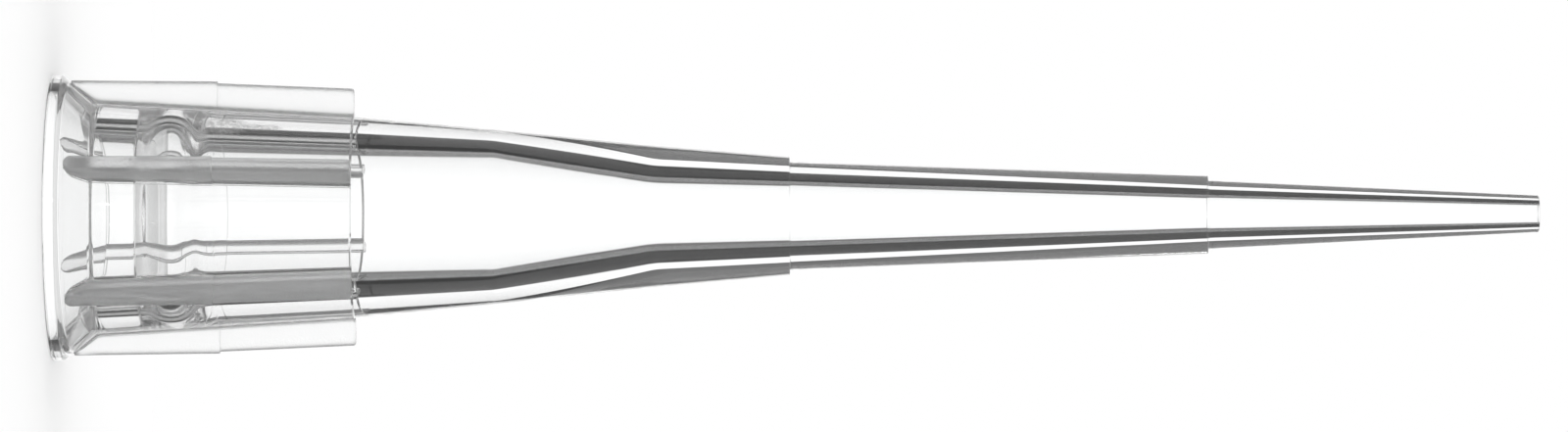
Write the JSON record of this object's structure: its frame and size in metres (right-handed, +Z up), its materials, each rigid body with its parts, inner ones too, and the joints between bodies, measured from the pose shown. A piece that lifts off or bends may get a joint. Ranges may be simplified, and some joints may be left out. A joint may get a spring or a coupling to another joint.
{
  "type": "pipette tip",
  "caption": "Clear graduated pipette tip: flared mouth with a rim, ribbed hub with a sealing groove inside, and a long stepped taper to a fine open end.",
  "frame": {"origin": "centre of the mouth plane, on the outside's axis, where the tip stands", "axes": "+Z up the axis from the mouth to the fine end; +X through the middle of one rib"},
  "size_m": [0.006, 0.006, 0.031],
  "materials": {
    "clear_polypropylene": "clear natural polypropylene, polished on the barrel and bore, finely spark-textured on the ribs"
  },
  "bodies": {
    "root": {"pipette_tip": "clear_polypropylene"}
  },
  "joints": []
}
